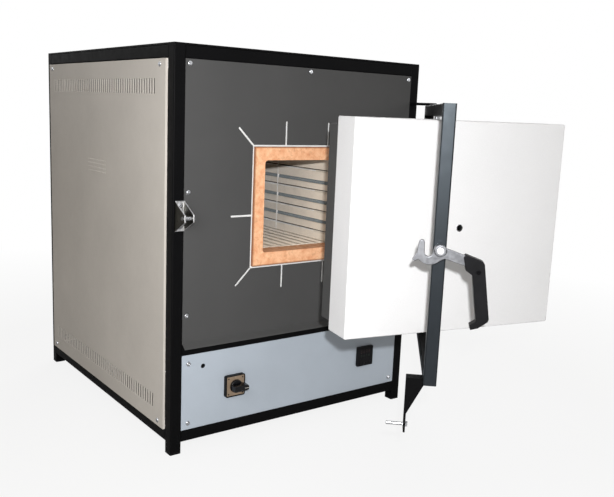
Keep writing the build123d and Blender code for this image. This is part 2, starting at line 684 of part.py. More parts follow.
# ================================================================ SWING ARM
def arm_plane(x, y, z, normal):
    """A plane in the arm's frame at a point, facing along one of the arm's own directions."""
    towards = {"along": ARM.x_dir, "out": ARM.y_dir, "up": ARM.z_dir}[normal]
    across = ARM.z_dir if normal != "up" else ARM.x_dir
    return Plane(origin=ARM.from_local_coords((x, y, z)), x_dir=across, z_dir=towards)


def box_on(frame, low, high, mode=Mode.ADD):
    """A box between two corners in a frame whose Z is up."""
    with BuildSketch(frame.offset(low[2])) as section:
        with Locations(((low[0] + high[0]) / 2, (low[1] + high[1]) / 2)):
            Rectangle(abs(high[0] - low[0]), abs(high[1] - low[1]))
    extrude(section.sketch, amount=high[2] - low[2], mode=mode)


def round_on(frame, x, y, low, high, radius, mode=Mode.ADD):
    """An upright cylinder in a frame whose Z is up."""
    with BuildSketch(frame.offset(low)) as section:
        with Locations((x, y)):
            Circle(radius)
    extrude(section.sketch, amount=high - low, mode=mode)


hinge_tube_r = 11
bush_r = 7
pivot_r = 6
bar_inner = arm_reach - arm_tube / 2
cope_start = 6

with BuildPart() as arm_hinge_tube:
    round_on(ARM, 0, 0, arm_low_z, arm_high_z, hinge_tube_r)
    round_on(ARM, 0, 0, arm_low_z, arm_high_z, bush_r, Mode.SUBTRACT)
save(arm_hinge_tube.part, "arm_hinge_tube")

with BuildPart() as arm_hinge_bushes:
    for low, high in ((arm_low_z, arm_low_z + pin_deep), (arm_high_z - pin_deep, arm_high_z)):
        round_on(ARM, 0, 0, low, high, bush_r)
        round_on(ARM, 0, 0, low, high, pin_r + 0.05, Mode.SUBTRACT)
save(arm_hinge_bushes.part, "arm_hinge_bushes")

with BuildPart() as arm_front_bar:
    square_tube(arm_plane(arm_reach, 0, arm_low_z, "up"), arm_high_z - arm_low_z, arm_tube)
    for z in (arm_low_z, arm_high_z - tube_wall):
        box_on(ARM, (arm_reach - 9, -9, z), (arm_reach + 9, 9, z + tube_wall))
    with BuildSketch(arm_plane(bar_end + 1, 0, lever_z, "along")):
        Circle(5)
    extrude(amount=-arm_tube - 2, mode=Mode.SUBTRACT)
save(arm_front_bar.part, "arm_front_bar")


def cross_tube(low_z):
    """Level tube from the hinge tube to the front bar, bored for the door pivot."""
    square_tube(arm_plane(cope_start, 0, low_z + arm_tube / 2, "along"), bar_inner - cope_start, arm_tube)
    round_on(ARM, 0, 0, low_z, low_z + arm_tube, hinge_tube_r, Mode.SUBTRACT)
    round_on(ARM, pivot_reach, 0, low_z, low_z + arm_tube, pivot_r, Mode.SUBTRACT)


with BuildPart() as arm_top_tube:
    cross_tube(arm_high_z - arm_tube)
save(arm_top_tube.part, "arm_top_tube")

with BuildPart() as arm_bottom_tube:
    cross_tube(arm_low_z)
save(arm_bottom_tube.part, "arm_bottom_tube")

# Door pivot pins: welded in the level tubes, with a collar that carries the door below.
tray_inset = 14
inner_low, inner_high = door_low + tray_inset, door_high - tray_inset
flange_thick, flange_gap, pivot_depth = 3, 0.5, 40
with BuildPart() as door_pivot_pins:
    round_on(ARM, pivot_reach, 0, arm_low_z, inner_low + pivot_depth - 4, pivot_r)
    round_on(ARM, pivot_reach, 0, arm_low_z + arm_tube, inner_low - flange_thick - flange_gap, 11)
    round_on(ARM, pivot_reach, 0, inner_high - pivot_depth + 4, arm_high_z, pivot_r)
save(door_pivot_pins.part, "door_pivot_pins")

# Striker of the door switch: folded gusset under the arm with a hanging strip.
striker_mid = hinge_x - (left + striker_x)
strip_front, strip_back = -35, -38.5
with BuildPart() as striker_bracket:
    box_on(ARM, (striker_mid - 11, strip_front, arm_low_z - 2.5), (striker_mid + 11, -3, arm_low_z))
    box_on(ARM, (striker_mid - 11, strip_back, striker_z - 12), (striker_mid + 11, strip_front, arm_low_z))
    with BuildSketch(arm_plane(striker_mid + 11, 0, 0, "along")):
        with BuildLine():
            Polyline((arm_low_z, -strip_front), (arm_low_z - 66, -strip_front), (arm_low_z - 2.5, 3),
                     (arm_low_z, 3), close=True)
        make_face()
    extrude(amount=-3)
    with BuildSketch(arm_plane(striker_mid, strip_back - 1, striker_z, "out")):
        Circle(3)
    extrude(amount=10, mode=Mode.SUBTRACT)
save(striker_bracket.part, "striker_bracket")

with BuildPart() as striker_pin:
    with BuildSketch(arm_plane(striker_mid, -hinge_out - striker_tip, striker_z, "out")):
        Circle(3)
    extrude(amount=hinge_out + striker_tip + strip_front)
    fillet(striker_pin.faces().sort_by(Axis(ARM.origin, ARM.y_dir))[0].edges(), radius=1.2)
    with BuildSketch(arm_plane(striker_mid, strip_front, striker_z, "out")):
        RegularPolygon(5, 6)
    extrude(amount=4)
save(striker_pin.part, "striker_pin")

# Stud that the lever turns on, with a dome head outside the lever.
lever_plate_in = lever_mid - lever_thick / 2
lever_plate_out = lever_mid + lever_thick / 2
hub_r = 9.5
hub_in, hub_out = bar_end + 1, lever_plate_out + 3
stud_r = 5
with BuildPart() as lever_stud:
    with BuildSketch(arm_plane(bar_inner, 0, lever_z, "along")):
        Circle(stud_r)
    extrude(amount=hub_out + 0.3 - bar_inner)
    with BuildSketch(arm_plane(hub_out + 0.3, 0, lever_z, "along")):
        Circle(6)
    extrude(amount=3)
    fillet(lever_stud.faces().sort_by(Axis(ARM.origin, ARM.x_dir))[-1].edges(), radius=1.5)
save(lever_stud.part, "lever_stud")

# ================================================================ LEVER
slot_mid, slot_half = (-18.5, -4), 6.7
with BuildPart() as lever_casting:
    with BuildSketch(LEVER.offset(-lever_thick / 2)):
        with BuildLine():
            Spline((-34.9, 11.5), (-36.6, 4), (-37.3, -5))
            Line((-37.3, -5), (-42.6, -14))
            ThreePointArc((-42.6, -14), (-43.4, -17.6), (-40.5, -19.2))
            Line((-40.5, -19.2), (-34, -16))
            Spline((-34, -16), (-28, -20.8), (-19.5, -23.9), (-8.3, -22.6), (0, -17.5), (8, -13.4))
            Line((8, -13.4), (47, -24.5))
            Line((47, -24.5), (47, -8))
            Line((47, -8), (8.5, 4.5))
            Line((8.5, 4.5), (-8, 4.5))
            Line((-8, 4.5), (slot_mid[0] + slot_half, slot_mid[1]))
            ThreePointArc((slot_mid[0] + slot_half, slot_mid[1]), (slot_mid[0], slot_mid[1] - slot_half),
                          (slot_mid[0] - slot_half, slot_mid[1]))
            Line((slot_mid[0] - slot_half, slot_mid[1]), (-25.7, 11.5))
            ThreePointArc((-25.7, 11.5), (-30.3, 16.4), (-34.9, 11.5))
        make_face()
    extrude(amount=lever_thick)
    with BuildSketch(LEVER.offset(hub_in - lever_mid)):
        Circle(hub_r)
    extrude(amount=hub_out - hub_in)
    with BuildSketch(LEVER.offset(hub_in - lever_mid - 1)):
        Circle(stud_r + 0.05)
    extrude(amount=hub_out - hub_in + 2, mode=Mode.SUBTRACT)
    with BuildSketch(LEVER.offset(-20)):
        with Locations((62.3, -31)):
            Circle(2)
    extrude(amount=40, mode=Mode.SUBTRACT)
save(lever_casting.part, "lever_casting")

grip_thick = 18
with BuildPart() as lever_grip:
    with BuildSketch(LEVER.offset(-grip_thick / 2)):
        with BuildLine():
            Polyline((37.4, -8), (41, -3.6), (68.7, -13.4), (71.6, -18), (84.8, -107.7), (83.4, -112.5),
                     (68.5, -123.8), (56.3, -127.4), (54.5, -119.3), (64.2, -112.7), (53.1, -36.8),
                     (41.9, -29.4), close=True)
        make_face()
    extrude(amount=grip_thick)
    sides = lever_grip.faces().filter_by(lambda face: abs(face.normal_at().dot(LEVER.z_dir)) > 0.9)
    fillet(sides.edges(), radius=1.6)
    # The casting's arm runs into the grip; its socket is left open.
    with BuildSketch(LEVER.offset(-lever_thick / 2)):
        Polygon((30, -1), (47, -8), (47, -24.5), (30, -21), align=None)
    extrude(amount=lever_thick, mode=Mode.SUBTRACT)
    with BuildSketch(LEVER.offset(-grip_thick)):
        with Locations((62.3, -31)):
            Circle(2)
    extrude(amount=2 * grip_thick, mode=Mode.SUBTRACT)
save(lever_grip.part, "lever_grip")

with BuildPart() as lever_grip_screw:
    with BuildSketch(LEVER.offset(grip_thick / 2)):
        with Locations((62.3, -31)):
            Circle(2)
    extrude(amount=-grip_thick)
    with BuildSketch(LEVER.offset(grip_thick / 2)):
        with Locations((62.3, -31)):
            Circle(3.6)
    extrude(amount=2)
save(lever_grip_screw.part, "lever_grip_screw")

# ================================================================ DOOR
sight_r, sight_bore = 7, 5.5


def sight_hole(low_y, high_y, radius):
    """Cuts the sight tube's way through a piece, from one depth of the door to another."""
    with BuildSketch(Plane(origin=DOOR.from_local_coords((0, low_y, door_z)), x_dir=DOOR.x_dir,
                           z_dir=DOOR.y_dir)) as section:
        Circle(radius)
    extrude(section.sketch, amount=high_y - low_y, mode=Mode.SUBTRACT)


with BuildPart() as door_casing:
    box_on(DOOR, (-door_w / 2, door_face, door_low), (door_w / 2, casing_back, door_high))
    away = Axis(DOOR.origin, DOOR.y_dir)
    fillet(door_casing.edges().filter_by(away), radius=3)
    fillet(door_casing.faces().sort_by(away)[0].edges(), radius=2.5)
    box_on(DOOR, (-door_w / 2 + sheet, door_face + sheet, door_low + sheet),
           (door_w / 2 - sheet, casing_back, door_high - sheet), Mode.SUBTRACT)
    sight_hole(door_face - 1, door_face + 3, sight_r)
save(door_casing.part, "door_casing")

inner_w = door_w - 12
with BuildPart() as door_inner_casing:
    box_on(DOOR, (-inner_w / 2, casing_back - 10, inner_low), (inner_w / 2, inner_back, inner_high))
    fillet(door_inner_casing.edges().filter_by(away), radius=3)
    box_on(DOOR, (-inner_w / 2 + sheet, casing_back - 10, inner_low + sheet),
           (inner_w / 2 - sheet, inner_back - sheet, inner_high - sheet), Mode.SUBTRACT)
    box_on(DOOR, (-plug_w / 2, inner_back - 3, door_z - plug_h / 2),
           (plug_w / 2, inner_back + 3, door_z + plug_h / 2), Mode.SUBTRACT)
    # Flange that closes the pale tray's back around the dark one.
    box_on(DOOR, (-door_w / 2 + sheet, casing_back - sheet, door_low + sheet),
           (door_w / 2 - sheet, casing_back, door_high - sheet))
    box_on(DOOR, (-inner_w / 2 + sheet, casing_back - 4, inner_low + sheet),
           (inner_w / 2 - sheet, casing_back + 4, inner_high - sheet), Mode.SUBTRACT)
    round_on(DOOR, 0, 0, inner_low - 5, inner_high + 5, 10, Mode.SUBTRACT)
save(door_inner_casing.part, "door_inner_casing")

bush_wall_r = 10
with BuildPart() as door_pivot_bushes:
    for z, up in ((inner_low, 1), (inner_high, -1)):
        end, flange = z + up * pivot_depth, z - up * flange_thick
        round_on(DOOR, 0, 0, min(z, end), max(z, end), bush_wall_r)
        round_on(DOOR, 0, 0, min(z, flange), max(z, flange), 15)
    round_on(DOOR, 0, 0, inner_low - flange_thick, inner_high + flange_thick, pivot_r + 0.05, Mode.SUBTRACT)
save(door_pivot_bushes.part, "door_pivot_bushes")

clear = 0.3
with BuildPart() as door_filling:
    box_on(DOOR, (-door_w / 2 + sheet + clear, door_face + sheet + clear, door_low + sheet + clear),
           (door_w / 2 - sheet - clear, casing_back - 10 - clear, door_high - sheet - clear))
    box_on(DOOR, (-inner_w / 2 + sheet + clear, casing_back - 10 - clear, inner_low + sheet + clear),
           (inner_w / 2 - sheet - clear, inner_back - sheet - clear, inner_high - sheet - clear))
    for z, up in ((inner_low, 1), (inner_high, -1)):
        end = z + up * (pivot_depth + clear)
        round_on(DOOR, 0, 0, min(z, end), max(z, end), bush_wall_r + clear, Mode.SUBTRACT)
    sight_hole(door_face, inner_back, sight_r)
save(door_filling.part, "door_filling")

with BuildPart() as door_plug:
    box_on(DOOR, (-plug_w / 2, inner_back - sheet - clear, door_z - plug_h / 2),
           (plug_w / 2, plug_face, door_z + plug_h / 2))
    fillet(door_plug.edges().filter_by(away), radius=4)
    chamfer(door_plug.faces().sort_by(away)[-1].edges(), length=3)
    sight_hole(door_face, plug_face + 1, sight_r)
save(door_plug.part, "door_plug")

with BuildPart() as sight_tube:
    sight_plane = Plane(origin=DOOR.from_local_coords((0, door_face - 0.5, door_z)), x_dir=DOOR.x_dir,
                        z_dir=DOOR.y_dir)
    with BuildSketch(sight_plane):
        Circle(sight_r)
        Circle(sight_bore, mode=Mode.SUBTRACT)
    extrude(amount=plug_face - 1 - door_face)
save(sight_tube.part, "sight_tube")
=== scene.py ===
"""Chamber muffle furnace with a swing-arm door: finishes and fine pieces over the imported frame.

Metres, +Z up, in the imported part's own frame. The loading side faces -Y. The pieces stand in
the half-open pose. Local frames (arm, door, lever, panel) are set once, and a piece is modelled
in its own frame and then laid into place.
"""
import math

import bmesh
import bpy
from mathutils import Matrix, Vector


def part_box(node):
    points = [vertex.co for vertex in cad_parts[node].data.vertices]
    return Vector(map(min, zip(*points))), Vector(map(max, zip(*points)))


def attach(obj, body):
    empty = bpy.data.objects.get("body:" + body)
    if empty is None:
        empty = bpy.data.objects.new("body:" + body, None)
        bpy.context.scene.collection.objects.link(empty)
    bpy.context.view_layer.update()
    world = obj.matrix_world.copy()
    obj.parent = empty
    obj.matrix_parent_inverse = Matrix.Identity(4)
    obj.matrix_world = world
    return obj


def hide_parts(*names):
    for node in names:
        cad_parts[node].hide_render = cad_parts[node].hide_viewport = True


bl_info = {
    "name": "Chamber Furnace Finishes",
    "version": (1, 0, 0),
    "blender": (4, 5, 0),
    "location": "View3D > Sidebar > Furnace",
    "description": "Fine pieces, paints and stage for a chamber furnace with a swing-arm door",
    "category": "Object",
}

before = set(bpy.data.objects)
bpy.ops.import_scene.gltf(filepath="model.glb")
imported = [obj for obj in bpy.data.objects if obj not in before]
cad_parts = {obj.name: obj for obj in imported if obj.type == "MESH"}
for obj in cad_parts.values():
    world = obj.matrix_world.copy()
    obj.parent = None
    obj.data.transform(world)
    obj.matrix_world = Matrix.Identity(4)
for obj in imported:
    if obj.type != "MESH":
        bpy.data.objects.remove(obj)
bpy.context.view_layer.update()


def axes(origin, x_axis, y_axis, z_axis):
    """A local frame as a matrix: its origin and its three directions."""
    turn = Matrix((x_axis, y_axis, z_axis)).transposed().to_4x4()
    return Matrix.Translation(origin) @ turn


# The origin is under the front left foot; this is the middle of the four feet.
feet_middle = Vector((0.3125, 0.3475, 0))
# Arm frame: X along the arm from the hinge, Y to the operator, Z up.
hinge_x, hinge_y = 0.625, -0.0675
arm_open, door_turned = 47.5, 60            # degrees, as in the solids
arm_angle = math.radians(180 + arm_open)
door_angle = math.radians(arm_open - door_turned)
arm_dir = Vector((math.cos(arm_angle), math.sin(arm_angle), 0))
arm_out = Vector((-math.sin(arm_angle), math.cos(arm_angle), 0))
up = Vector((0, 0, 1))
ARM = axes((hinge_x, hinge_y, 0), arm_dir, arm_out, up)
# Door frame: X along the door, Y to the chamber, Z up, origin on the door's pivot.
pivot_reach = 0.3125
door_dir = Vector((math.cos(door_angle), math.sin(door_angle), 0))
door_in = Vector((-math.sin(door_angle), math.cos(door_angle), 0))
DOOR = axes(Vector((hinge_x, hinge_y, 0)) + arm_dir * pivot_reach, door_dir, door_in, up)
# Lever frame: X to the operator, Y up, Z along the arm, origin on the lever's axis.
lever_reach, lever_z = 0.6225, 0.509
LEVER = axes(ARM @ Vector((lever_reach, 0, lever_z)), arm_out, up, arm_dir)
# Panel frames: X right, Y up, Z out of the loading side.
panel_face = -0.012
knob_place = (0.1385, 0.129)
instrument_place = (0.5105, 0.135)
knob_seat, plate_face, window_face = 0.0093, 0.0086, 0.007      # in front of the panel's face
# Vent slots of the side trays: two rows, counted from the front.
vent_rows = (0.1, 0.757)
vent_first, last_vent = 0.0635, 49
vent_pitch = 0.58 / last_vent
# Chamber: its side plates' seams and grooves.
side_plate = 0.113                          # face of a side plate, from the middle
seam_heights = (0.436, 0.4845, 0.533, 0.5815)
plate_break, plate_top = 0.2246, 0.612      # front plates meet the rear ones; top of both
groove_heights = (0.459, 0.506, 0.553)
coil_out, coil_sag = 0.1178, 0.0003


def on_panel(x, z, y=panel_face):
    return axes((x, y, z), (1, 0, 0), (0, 0, 1), (0, -1, 0))


# ---------------------------------------------------------------- settings
def linear(code):
    """A paint chart's hex code as linear colour."""
    parts = [int(code[i:i + 2], 16) / 255 for i in (0, 2, 4)]
    return tuple(c / 12.92 if c <= 0.04045 else ((c + 0.055) / 1.055) ** 2.4 for c in parts)


def paint_property(name, code, description):
    return bpy.props.FloatVectorProperty(
        name=name, description=description, subtype="COLOR", size=3, min=0, max=1,
        default=linear(code))


def size_property(name, default, description):
    return bpy.props.FloatProperty(
        name=name, description=description, unit="LENGTH", subtype="DISTANCE", min=0,
        default=default, precision=5)


class FurnacePaints(bpy.types.PropertyGroup):
    """Colours of the paints and materials."""
    frame_black: paint_property("Frame black", "0c0c0d", "Powder coat of the frame tubes")
    arm_black: paint_property("Arm black", "141619", "Satin paint of the arm's tubes")
    side_grey: paint_property("Side grey", "cac4bc", "Powder coat of the side trays")
    graphite: paint_property("Graphite", "4c4c4c", "Paint of the front panel")
    control_grey: paint_property("Control grey", "aeb7c1", "Paint of the control panel")
    door_white: paint_property("Door white", "e4e4e5", "Paint of the door's outer tray")
    ceramic_light: paint_property("Ceramic, light", "fbc79d", "Lighter clay of the muffle front")
    ceramic_dark: paint_property("Ceramic, dark", "e49e73", "Darker clay of the muffle front")
    ceramic_burn: paint_property("Ceramic, burnt", "a8653e", "Burnt blotches of the muffle front")
    brick_light: paint_property("Brick, light", "f6ead9", "Chamber plates near the mouth")
    brick_dark: paint_property("Brick, dark", "e9e4dd", "Chamber plates deep inside")
    plate_brown: paint_property("Face plate", "857360", "Face plate of the cam switch")


class FurnaceSizes(bpy.types.PropertyGroup):
    """Sizes of the fine pieces."""
    sheet_edge: size_property("Sheet edge", 0.0005, "Rounding of sheet-metal edges")
    casting_edge: size_property("Casting edge", 0.0011, "Rounding of the lever casting")
    grip_edge: size_property("Grip edge", 0.0024, "Rounding of the moulded grip")
    clay_edge: size_property("Clay edge", 0.0025, "Rounding of the ceramic's mouth")
    coil_radius: size_property("Coil radius", 0.0033, "Middle radius of the element coils")
    wire_radius: size_property("Wire radius", 0.0008, "Radius of the resistance wire")
    coil_pitch: size_property("Coil pitch", 0.0034, "One turn of the element coils")
    digit_height: size_property("Digit height", 0.0072, "Height of the instrument's digits")


def paints():
    return bpy.context.scene.furnace_paints


def sizes():
    return bpy.context.scene.furnace_sizes


# ---------------------------------------------------------------- modelling by hand
def clear():
    if bpy.context.object and bpy.context.object.mode != "OBJECT":
        bpy.ops.object.mode_set(mode="OBJECT")
    bpy.ops.object.select_all(action="DESELECT")


def only(piece):
    clear()
    piece.select_set(True)
    bpy.context.view_layer.objects.active = piece


def name_new(name):
    piece = bpy.context.object
    piece.name = name
    piece.data.name = name
    bpy.ops.object.transform_apply(location=True, rotation=True, scale=True)
    return piece


def start_block(name, low, high):
    """A block between two corners of the local frame."""
    clear()
    low, high = Vector(low), Vector(high)
    bpy.ops.mesh.primitive_cube_add(size=1, location=(low + high) / 2)
    bpy.context.object.scale = high - low
    return name_new(name)


def start_round(name, low, high, radius, sides=48):
    """An upright cylinder between two points of the local frame that differ in Z."""
    clear()
    low, high = Vector(low), Vector(high)
    bpy.ops.mesh.primitive_cylinder_add(
        vertices=sides, radius=radius, depth=(high - low).length, location=(low + high) / 2)
    return name_new(name)


def edit(piece, kind="FACE"):
    """Opens the piece in edit mode with nothing selected."""
    only(piece)
    bpy.ops.object.mode_set(mode="EDIT")
    bpy.ops.mesh.select_mode(type=kind)
    bpy.ops.mesh.select_all(action="DESELECT")
    return bmesh.from_edit_mesh(piece.data)


def pick_faces(piece, test):
    """Selects the faces whose middle and normal pass the test."""
    mesh = edit(piece, "FACE")
    for face in mesh.faces:
        face.select_set(bool(test(face.calc_center_median(), face.normal)))
    bmesh.update_edit_mesh(piece.data)


def done():
    bpy.ops.object.mode_set(mode="OBJECT")


def round_edges(piece, width, segments=3, angle=35):
    """Rounds the sharp edges with a bevel modifier, applied."""
    only(piece)
    bevel = piece.modifiers.new("round", "BEVEL")
    bevel.width = width
    bevel.segments = segments
    bevel.limit_method = "ANGLE"
    bevel.angle_limit = math.radians(angle)
    bevel.use_clamp_overlap = False
    bevel.miter_outer = "MITER_ARC"
    bpy.ops.object.modifier_apply(modifier=bevel.name)
    bpy.ops.object.shade_smooth_by_angle(angle=math.radians(40))
    level = piece.modifiers.new("level", "WEIGHTED_NORMAL")
    level.keep_sharp = True
    bpy.ops.object.modifier_apply(modifier=level.name)


def join(name, pieces):
    only(pieces[0])
    for piece in pieces[1:]:
        piece.select_set(True)
    bpy.ops.object.join()
    return name_new(name)


def lay(piece, place):
    """Moves a piece from its local frame into place; its object stays at the origin."""
    only(piece)
    piece.matrix_world = place
    bpy.ops.object.transform_apply(location=True, rotation=True, scale=True)


def fit(piece, body, finish, slot, *nodes):
    """Gives a finished piece its body, its material and the solids it stands for."""
    piece.data.materials.clear()
    piece.data.materials.append(finish_of(finish))
    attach(piece, body)
    if nodes:
        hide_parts(*nodes)
    clear()
    return piece


def welded(node, name):
    """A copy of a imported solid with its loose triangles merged."""
    piece = bpy.data.objects.new(name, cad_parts[node].data.copy())
    bpy.context.scene.collection.objects.link(piece)
    edit(piece)
    bpy.ops.mesh.select_all(action="SELECT")
    bpy.ops.mesh.remove_doubles(threshold=0.000002)
    done()
    return piece


def eased(node, name, width, segments=2, angle=35):
    """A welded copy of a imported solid, with its sharp edges rounded."""
    piece = welded(node, name)
    edit(piece)
    bpy.ops.mesh.select_all(action="SELECT")
    bpy.ops.mesh.dissolve_limited(angle_limit=math.radians(0.6))
    done()
    round_edges(piece, width, segments, angle)
    return piece


# ---------------------------------------------------------------- materials
def finish_of(name):
    return bpy.data.materials[name + "_finish"]


def start_finish(name, rough, metal=0.0, specular=0.5):
    finish = bpy.data.materials.new(name + "_finish")
    finish.use_nodes = True
    shader = finish.node_tree.nodes["Principled BSDF"]
    shader.inputs["Roughness"].default_value = rough
    shader.inputs["Metallic"].default_value = metal
    shader.inputs["Specular IOR Level"].default_value = specular
    return finish, shader


def pattern(finish, scale, detail=3.0, rough=0.55, stretch=(1, 1, 1), twist=0.0):
    """A noise on object coordinates; its size falls with the scale."""
    nodes, links = finish.node_tree.nodes, finish.node_tree.links
    where = nodes.get("Where") or nodes.new("ShaderNodeTexCoord")
    where.name = "Where"
    mapping = nodes.new("ShaderNodeMapping")
    mapping.inputs["Scale"].default_value = stretch
    links.new(where.outputs["Object"], mapping.inputs["Vector"])
    noise = nodes.new("ShaderNodeTexNoise")
    noise.inputs["Scale"].default_value = scale
    noise.inputs["Detail"].default_value = detail
    noise.inputs["Roughness"].default_value = rough
    noise.inputs["Distortion"].default_value = twist
    links.new(mapping.outputs["Vector"], noise.inputs["Vector"])
    return noise.outputs["Fac"]


def ramp(finish, source, stops):
    """A colour ramp over a pattern; stops are (place, colour)."""
    node = finish.node_tree.nodes.new("ShaderNodeValToRGB")
    points = node.color_ramp.elements
    points[0].position, points[0].color = stops[0][0], (*stops[0][1], 1)
    points[1].position, points[1].color = stops[-1][0], (*stops[-1][1], 1)
    for place, colour in stops[1:-1]:
        point = points.new(place)
        point.color = (*colour, 1)
    finish.node_tree.links.new(source, node.inputs["Fac"])
    return node.outputs["Color"]


def spread(finish, source, low, high, start=0.3, end=0.7):
    """A pattern's values spread between two numbers."""
    node = finish.node_tree.nodes.new("ShaderNodeMapRange")
    node.inputs["From Min"].default_value = start
    node.inputs["From Max"].default_value = end
    node.inputs["To Min"].default_value = low
    node.inputs["To Max"].default_value = high
    finish.node_tree.links.new(source, node.inputs["Value"])
    return node.outputs["Result"]


def mix(finish, factor, first, second, kind="MIX"):
    node = finish.node_tree.nodes.new("ShaderNodeMix")
    node.data_type = "RGBA"
    node.blend_type = kind
    links = finish.node_tree.links
    inputs = (node.inputs[0], node.inputs[6], node.inputs[7])       # factor and the two colours
    for socket, value in zip(inputs, (factor, first, second)):
        if isinstance(value, bpy.types.NodeSocket):
            links.new(value, socket)
        elif isinstance(value, tuple):
            socket.default_value = (*value, 1)
        else:
            socket.default_value = value
    return node.outputs[2]


def relief(finish, source, strength, distance, under=None):
    """A bump from a pattern, over another bump where one is given."""
    node = finish.node_tree.nodes.new("ShaderNodeBump")
    node.inputs["Strength"].default_value = strength
    node.inputs["Distance"].default_value = distance
    finish.node_tree.links.new(source, node.inputs["Height"])
    if under is not None:
        finish.node_tree.links.new(under, node.inputs["Normal"])
    return node.outputs["Normal"]


def shade(colour, amount):
    return tuple(min(1.0, c * amount) for c in colour)


def powder_coat(name, colour, rough_low, rough_high, peel=0.06, peel_scale=420, specular=0.5,
                drift=0.05, tint=(1, 1, 1)):
    """Baked paint: a slow drift of tone, a fine speckle and an orange-peel skin."""
    finish, shader = start_finish(name, (rough_low + rough_high) / 2, specular=specular)
    shader.inputs["Specular Tint"].default_value = (*tint, 1)
    links = finish.node_tree.links
    slow = pattern(finish, 5.5, 4, 0.6)
    speck = pattern(finish, 1500, 2, 0.5)
    tone = ramp(finish, slow, [(0.3, shade(colour, 1 - drift)), (0.7, shade(colour, 1 + drift))])
    dots = ramp(finish, speck, [(0.32, (0.9, 0.9, 0.9)), (0.68, (1.0, 1.0, 1.0))])
    links.new(mix(finish, 1.0, tone, dots, "MULTIPLY"), shader.inputs["Base Color"])
    gloss = spread(finish, pattern(finish, 60, 4), rough_low, rough_high)
    links.new(gloss, shader.inputs["Roughness"])
    skin = relief(finish, pattern(finish, peel_scale, 2), peel, 0.0006)
    links.new(skin, shader.inputs["Normal"])
    return finish


def bare_metal(name, colour, rough_low, rough_high, scratch=0.05, cast=0.0, metal=1.0):
    """Plated or cast metal: patchy gloss, fine scratches and, when cast, a sandy skin."""
    finish, shader = start_finish(name, rough_high, metal)
    links = finish.node_tree.links
    patch = pattern(finish, 90, 5, 0.6)
    tone = ramp(finish, patch, [(0.3, shade(colour, 0.8)), (0.7, colour)])
    links.new(tone, shader.inputs["Base Color"])
    gloss = spread(finish, pattern(finish, 140, 5), rough_low, rough_high)
    links.new(gloss, shader.inputs["Roughness"])
    line = relief(finish, pattern(finish, 300, 3, 0.6, (1, 1, 9)), scratch, 0.0003)
    skin = relief(finish, pattern(finish, 520, 3), cast, 0.0006, line)
    links.new(skin, shader.inputs["Normal"])
    return finish


def moulded(name, colour, rough_low, rough_high, grain, grain_scale=1100, specular=0.5):
    """Moulded plastic with a fine grain."""
    finish, shader = start_finish(name, (rough_low + rough_high) / 2, specular=specular)
    links = finish.node_tree.links
    tone = ramp(finish, pattern(finish, 40, 3),
                [(0.3, shade(colour, 0.85)), (0.7, shade(colour, 1.15))])
    links.new(tone, shader.inputs["Base Color"])
    gloss = spread(finish, pattern(finish, 200, 3), rough_low, rough_high)
    links.new(gloss, shader.inputs["Roughness"])
    skin = relief(finish, pattern(finish, grain_scale, 2), grain, 0.0004)
    links.new(skin, shader.inputs["Normal"])
    return finish


def rim_shade_of_mouth(finish):
    """Painted shade at the outer rim of the muffle's front frame: rises from 0 to 1 there."""
    nodes, links = finish.node_tree.nodes, finish.node_tree.links
    low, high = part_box("muffle_front_frame")
    apart = nodes.new("ShaderNodeSeparateXYZ")
    links.new(nodes["Where"].outputs["Object"], apart.inputs["Vector"])
    shares = []
    for axis, near, far in (("X", low.x, high.x), ("Z", low.z, high.z)):
        share = spread(finish, apart.outputs[axis], -1, 1, near, far)
        size = nodes.new("ShaderNodeMath")
        size.operation = "ABSOLUTE"
        links.new(share, size.inputs[0])
        shares.append(size.outputs["Value"])
    larger = nodes.new("ShaderNodeMath")
    larger.operation = "MAXIMUM"
    for i, share in enumerate(shares):
        links.new(share, larger.inputs[i])
    return spread(finish, larger.outputs["Value"], 0, 0.85, 0.965, 0.995)


def fired_clay(name, light, dark, burn):
    """Mottled ceramic: broad patches, scorched blotches, painted shade along the outer rim, and a
    sandy, pitted skin.
    """
    finish, shader = start_finish(name, 0.88, specular=0.25)
    links = finish.node_tree.links
    broad = ramp(finish, pattern(finish, 60, 7, 0.68, twist=0.4), [(0.34, dark), (0.62, light)])
    blotch = spread(finish, pattern(finish, 110, 5, 0.6, twist=0.8), 0.0, 0.4, 0.55, 0.72)
    # Painted shade: the outer rim is darkened to a deep brown, over the broad patches and blotches.
    blotches_and_rim_shade = mix(finish, rim_shade_of_mouth(finish), mix(finish, blotch, broad, burn), shade(burn, 0.45))
    sand = ramp(finish, pattern(finish, 900, 3), [(0.3, (0.9, 0.88, 0.86)), (0.65, (1, 1, 1))])
    links.new(mix(finish, 1.0, blotches_and_rim_shade, sand, "MULTIPLY"), shader.inputs["Base Color"])
    coarse = relief(finish, pattern(finish, 240, 5, 0.65), 0.5, 0.0012)
    links.new(relief(finish, pattern(finish, 1000, 3), 0.4, 0.0005, coarse), shader.inputs["Normal"])
    return finish


